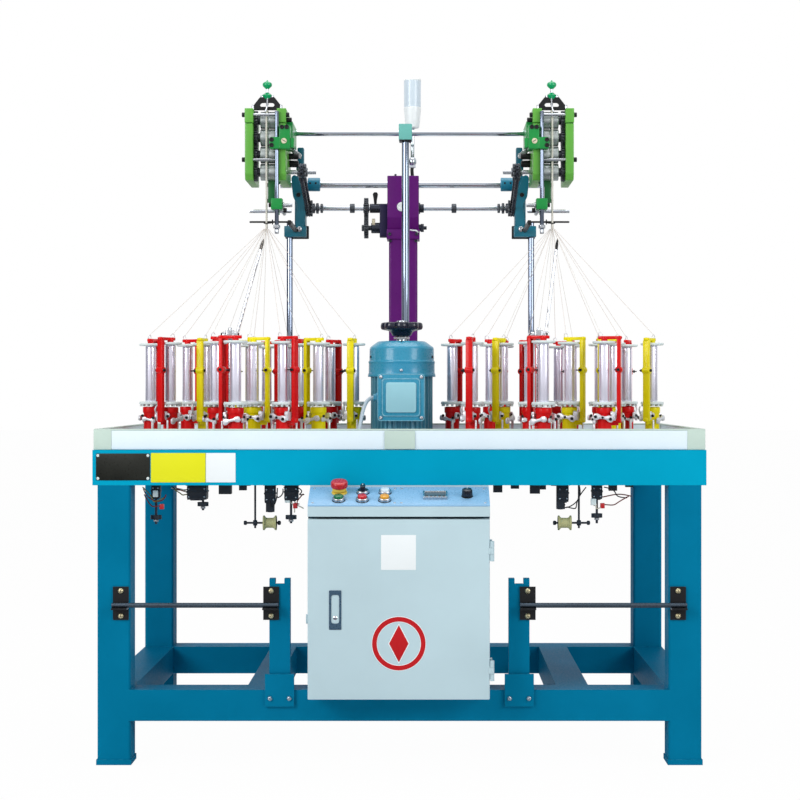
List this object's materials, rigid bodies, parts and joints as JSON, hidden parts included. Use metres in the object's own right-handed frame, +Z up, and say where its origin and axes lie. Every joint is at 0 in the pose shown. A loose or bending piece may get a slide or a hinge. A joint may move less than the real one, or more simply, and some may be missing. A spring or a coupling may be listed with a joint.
{
  "type": "maypole braiding machine",
  "caption": "Free-standing maypole braiding machine with paired carrier heads, take-up rollers, gear column, motor and a sloping control panel.",
  "frame": {"origin": "on the floor, in the middle of the machine's overall width and depth", "axes": "+Z up, +X to the right and +Y to the back as seen by someone who stands at the control panel"},
  "size_m": [1.48, 0.943, 1.777],
  "materials": {
    "frame_blue": "satin enamel, deep cyan blue",
    "table_cyan": "satin enamel, bright cyan blue",
    "deck_steel": "ground steel tracks, lightly oiled",
    "tray_pale": "pale grey-green paint",
    "bracket_black": "black satin paint",
    "cabinet_pale": "pale grey-blue paint",
    "panel_blue": "light blue control panel",
    "latch_steel": "polished latch lever",
    "signal_red": "glossy red plastic",
    "signal_green": "glossy green plastic",
    "signal_amber": "glossy amber plastic",
    "knob_black": "matt black plastic",
    "motor_blue": "steel blue machinery enamel",
    "wheel_black": "moulded black handwheel on a steel spindle",
    "column_purple": "purple enamel",
    "gear_steel": "machined steel, oiled teeth",
    "carrier_red": "red and yellow carriers with white bobbins",
    "lamp_white": "milky lens over a white foot",
    "bar_chrome": "polished steel bar",
    "takeup_lime": "lime green plates with green clamps and teal arms",
    "roller_steel": "knurled steel rollers",
    "yarn": "undyed thread"
  },
  "bodies": {
    "frame": {"stand_frame": "frame_blue", "table_bed": "table_cyan", "track_deck": "deck_steel", "tray_walls": "tray_pale", "guard_rods": "bracket_black", "cabinet_body": "cabinet_pale", "control_panel": "panel_blue", "motor": "motor_blue", "gear_column": "column_purple", "signal_lamp": "lamp_white", "bars_and_guides": "bar_chrome", "takeup_frames": "takeup_lime", "yarns": "yarn"},
    "door": {"cabinet_door": "cabinet_pale"},
    "latch": {"door_latch": "latch_steel"},
    "estop": {"estop_button": "signal_red"},
    "green": {"green_button": "signal_green"},
    "red": {"red_button": "signal_red"},
    "yellow": {"yellow_button": "signal_amber"},
    "selector": {"mode_selector": "knob_black"},
    "speed": {"speed_knob": "knob_black"},
    "handwheel": {"handwheel_shaft": "wheel_black"},
    "left_horn_1": {"left_horn_gear_1": "gear_steel", "left_carriers_1": "carrier_red"},
    "left_horn_2": {"left_horn_gear_2": "gear_steel", "left_carriers_2": "carrier_red"},
    "left_horn_3": {"left_horn_gear_3": "gear_steel", "left_carriers_3": "carrier_red"},
    "left_horn_4": {"left_horn_gear_4": "gear_steel", "left_carriers_4": "carrier_red"},
    "left_horn_5": {"left_horn_gear_5": "gear_steel", "left_carriers_5": "carrier_red"},
    "left_horn_6": {"left_horn_gear_6": "gear_steel", "left_carriers_6": "carrier_red"},
    "left_horn_7": {"left_horn_gear_7": "gear_steel", "left_carriers_7": "carrier_red"},
    "left_horn_8": {"left_horn_gear_8": "gear_steel", "left_carriers_8": "carrier_red"},
    "right_horn_1": {"right_horn_gear_1": "gear_steel", "right_carriers_1": "carrier_red"},
    "right_horn_2": {"right_horn_gear_2": "gear_steel", "right_carriers_2": "carrier_red"},
    "right_horn_3": {"right_horn_gear_3": "gear_steel", "right_carriers_3": "carrier_red"},
    "right_horn_4": {"right_horn_gear_4": "gear_steel", "right_carriers_4": "carrier_red"},
    "right_horn_5": {"right_horn_gear_5": "gear_steel", "right_carriers_5": "carrier_red"},
    "right_horn_6": {"right_horn_gear_6": "gear_steel", "right_carriers_6": "carrier_red"},
    "right_horn_7": {"right_horn_gear_7": "gear_steel", "right_carriers_7": "carrier_red"},
    "right_horn_8": {"right_horn_gear_8": "gear_steel", "right_carriers_8": "carrier_red"},
    "shaft": {"takeup_shaft": "gear_steel"},
    "bottom_rollers": {"bottom_rollers": "roller_steel"},
    "lower_rollers": {"lower_rollers": "roller_steel"},
    "upper_rollers": {"upper_rollers": "roller_steel"},
    "top_rollers": {"top_rollers": "roller_steel"},
    "change_gear": {"change_gear": "gear_steel"}
  },
  "joints": [
    {"name": "door_hinge", "type": "hinge", "parent": "frame", "child": "door", "pos_m": [0.22, -0.4665, 0.4], "axis": [0, 0, 1], "range_deg": [0, 110]},
    {"name": "latch_turn", "type": "hinge", "parent": "door", "child": "latch", "pos_m": [-0.15, -0.4631, 0.416], "axis": [-1, 0, 0], "range_deg": [0, 35]},
    {"name": "estop_press", "type": "slide", "parent": "frame", "child": "estop", "axis": [0, 0.3552, -0.9348], "range_m": [0, 0.005], "stiffness_N_per_m": 900},
    {"name": "green_press", "type": "slide", "parent": "frame", "child": "green", "axis": [0, 0.3552, -0.9348], "range_m": [0, 0.004], "stiffness_N_per_m": 700},
    {"name": "red_press", "type": "slide", "parent": "frame", "child": "red", "axis": [0, 0.3552, -0.9348], "range_m": [0, 0.004], "stiffness_N_per_m": 700},
    {"name": "yellow_press", "type": "slide", "parent": "frame", "child": "yellow", "axis": [0, 0.3552, -0.9348], "range_m": [0, 0.004], "stiffness_N_per_m": 700},
    {"name": "selector_turn", "type": "hinge", "parent": "frame", "child": "selector", "pos_m": [-0.087, -0.40449, 0.6576], "axis": [0, -0.3552, 0.9348], "range_deg": [-45, 45]},
    {"name": "speed_turn", "type": "hinge", "parent": "frame", "child": "speed", "pos_m": [0.162, -0.42318, 0.6505], "axis": [0, -0.3552, 0.9348], "range_deg": [-150, 150]},
    {"name": "handwheel_turn", "type": "hinge", "parent": "frame", "child": "handwheel", "pos_m": [0, 0.0505, 1.06], "axis": [0, 0, 1], "range_deg": [-12, 12]},
    {"name": "left_horn_1_turn", "type": "hinge", "parent": "frame", "child": "left_horn_1", "pos_m": [-0.19875, 0.0505, 0.72], "axis": [0, 0, 1], "range_deg": [-20, 20]},
    {"name": "left_horn_2_turn", "type": "hinge", "parent": "frame", "child": "left_horn_2", "pos_m": [-0.25615, 0.18908, 0.72], "axis": [0, 0, 1], "range_deg": [-20, 20]},
    {"name": "left_horn_3_turn", "type": "hinge", "parent": "frame", "child": "left_horn_3", "pos_m": [-0.39473, 0.24648, 0.72], "axis": [0, 0, 1], "range_deg": [-20, 20]},
    {"name": "left_horn_4_turn", "type": "hinge", "parent": "frame", "child": "left_horn_4", "pos_m": [-0.53332, 0.18908, 0.72], "axis": [0, 0, 1], "range_deg": [-20, 20]},
    {"name": "left_horn_5_turn", "type": "hinge", "parent": "frame", "child": "left_horn_5", "pos_m": [-0.59072, 0.0505, 0.72], "axis": [0, 0, 1], "range_deg": [-20, 20]},
    {"name": "left_horn_6_turn", "type": "hinge", "parent": "frame", "child": "left_horn_6", "pos_m": [-0.53332, -0.08808, 0.72], "axis": [0, 0, 1], "range_deg": [-20, 20]},
    {"name": "left_horn_7_turn", "type": "hinge", "parent": "frame", "child": "left_horn_7", "pos_m": [-0.39473, -0.14548, 0.72], "axis": [0, 0, 1], "range_deg": [-20, 20]},
    {"name": "left_horn_8_turn", "type": "hinge", "parent": "frame", "child": "left_horn_8", "pos_m": [-0.25615, -0.08808, 0.72], "axis": [0, 0, 1], "range_deg": [-20, 20]},
    {"name": "right_horn_1_turn", "type": "hinge", "parent": "frame", "child": "right_horn_1", "pos_m": [0.19875, 0.0505, 0.72], "axis": [0, 0, 1], "range_deg": [-20, 20]},
    {"name": "right_horn_2_turn", "type": "hinge", "parent": "frame", "child": "right_horn_2", "pos_m": [0.25615, -0.08808, 0.72], "axis": [0, 0, 1], "range_deg": [-20, 20]},
    {"name": "right_horn_3_turn", "type": "hinge", "parent": "frame", "child": "right_horn_3", "pos_m": [0.39473, -0.14548, 0.72], "axis": [0, 0, 1], "range_deg": [-20, 20]},
    {"name": "right_horn_4_turn", "type": "hinge", "parent": "frame", "child": "right_horn_4", "pos_m": [0.53332, -0.08808, 0.72], "axis": [0, 0, 1], "range_deg": [-20, 20]},
    {"name": "right_horn_5_turn", "type": "hinge", "parent": "frame", "child": "right_horn_5", "pos_m": [0.59072, 0.0505, 0.72], "axis": [0, 0, 1], "range_deg": [-20, 20]},
    {"name": "right_horn_6_turn", "type": "hinge", "parent": "frame", "child": "right_horn_6", "pos_m": [0.53332, 0.18908, 0.72], "axis": [0, 0, 1], "range_deg": [-20, 20]},
    {"name": "right_horn_7_turn", "type": "hinge", "parent": "frame", "child": "right_horn_7", "pos_m": [0.39473, 0.24648, 0.72], "axis": [0, 0, 1], "range_deg": [-20, 20]},
    {"name": "right_horn_8_turn", "type": "hinge", "parent": "frame", "child": "right_horn_8", "pos_m": [0.25615, 0.18908, 0.72], "axis": [0, 0, 1], "range_deg": [-20, 20]},
    {"name": "takeup_shaft_turn", "type": "hinge", "parent": "frame", "child": "shaft", "pos_m": [0, 0.3795, 1.416], "axis": [1, 0, 0], "continuous": true},
    {"name": "bottom_rollers_turn", "type": "hinge", "parent": "frame", "child": "bottom_rollers", "pos_m": [0, 0.1055, 1.485], "axis": [1, 0, 0], "continuous": true},
    {"name": "lower_rollers_turn", "type": "hinge", "parent": "frame", "child": "lower_rollers", "pos_m": [0, 0.1055, 1.531], "axis": [1, 0, 0], "continuous": true},
    {"name": "upper_rollers_turn", "type": "hinge", "parent": "frame", "child": "upper_rollers", "pos_m": [0, 0.1055, 1.577], "axis": [1, 0, 0], "continuous": true},
    {"name": "top_rollers_turn", "type": "hinge", "parent": "frame", "child": "top_rollers", "pos_m": [0, 0.1055, 1.623], "axis": [1, 0, 0], "continuous": true},
    {"name": "change_gear_turn", "type": "hinge", "parent": "frame", "child": "change_gear", "pos_m": [0, 0.3795, 1.3608], "axis": [1, 0, 0], "continuous": true}
  ],
  "couplings": [
    {"joint": "left_horn_1_turn", "follows": "handwheel_turn", "ratio": -1.65},
    {"joint": "left_horn_2_turn", "follows": "handwheel_turn", "ratio": 1.65},
    {"joint": "left_horn_3_turn", "follows": "handwheel_turn", "ratio": -1.65},
    {"joint": "left_horn_4_turn", "follows": "handwheel_turn", "ratio": 1.65},
    {"joint": "left_horn_5_turn", "follows": "handwheel_turn", "ratio": -1.65},
    {"joint": "left_horn_6_turn", "follows": "handwheel_turn", "ratio": 1.65},
    {"joint": "left_horn_7_turn", "follows": "handwheel_turn", "ratio": -1.65},
    {"joint": "left_horn_8_turn", "follows": "handwheel_turn", "ratio": 1.65},
    {"joint": "right_horn_1_turn", "follows": "handwheel_turn", "ratio": -1.65},
    {"joint": "right_horn_2_turn", "follows": "handwheel_turn", "ratio": 1.65},
    {"joint": "right_horn_3_turn", "follows": "handwheel_turn", "ratio": -1.65},
    {"joint": "right_horn_4_turn", "follows": "handwheel_turn", "ratio": 1.65},
    {"joint": "right_horn_5_turn", "follows": "handwheel_turn", "ratio": -1.65},
    {"joint": "right_horn_6_turn", "follows": "handwheel_turn", "ratio": 1.65},
    {"joint": "right_horn_7_turn", "follows": "handwheel_turn", "ratio": -1.65},
    {"joint": "right_horn_8_turn", "follows": "handwheel_turn", "ratio": 1.65},
    {"joint": "bottom_rollers_turn", "follows": "takeup_shaft_turn", "ratio": 1},
    {"joint": "lower_rollers_turn", "follows": "takeup_shaft_turn", "ratio": -1},
    {"joint": "upper_rollers_turn", "follows": "takeup_shaft_turn", "ratio": 1},
    {"joint": "top_rollers_turn", "follows": "takeup_shaft_turn", "ratio": -1},
    {"joint": "change_gear_turn", "follows": "takeup_shaft_turn", "ratio": -1}
  ]
}
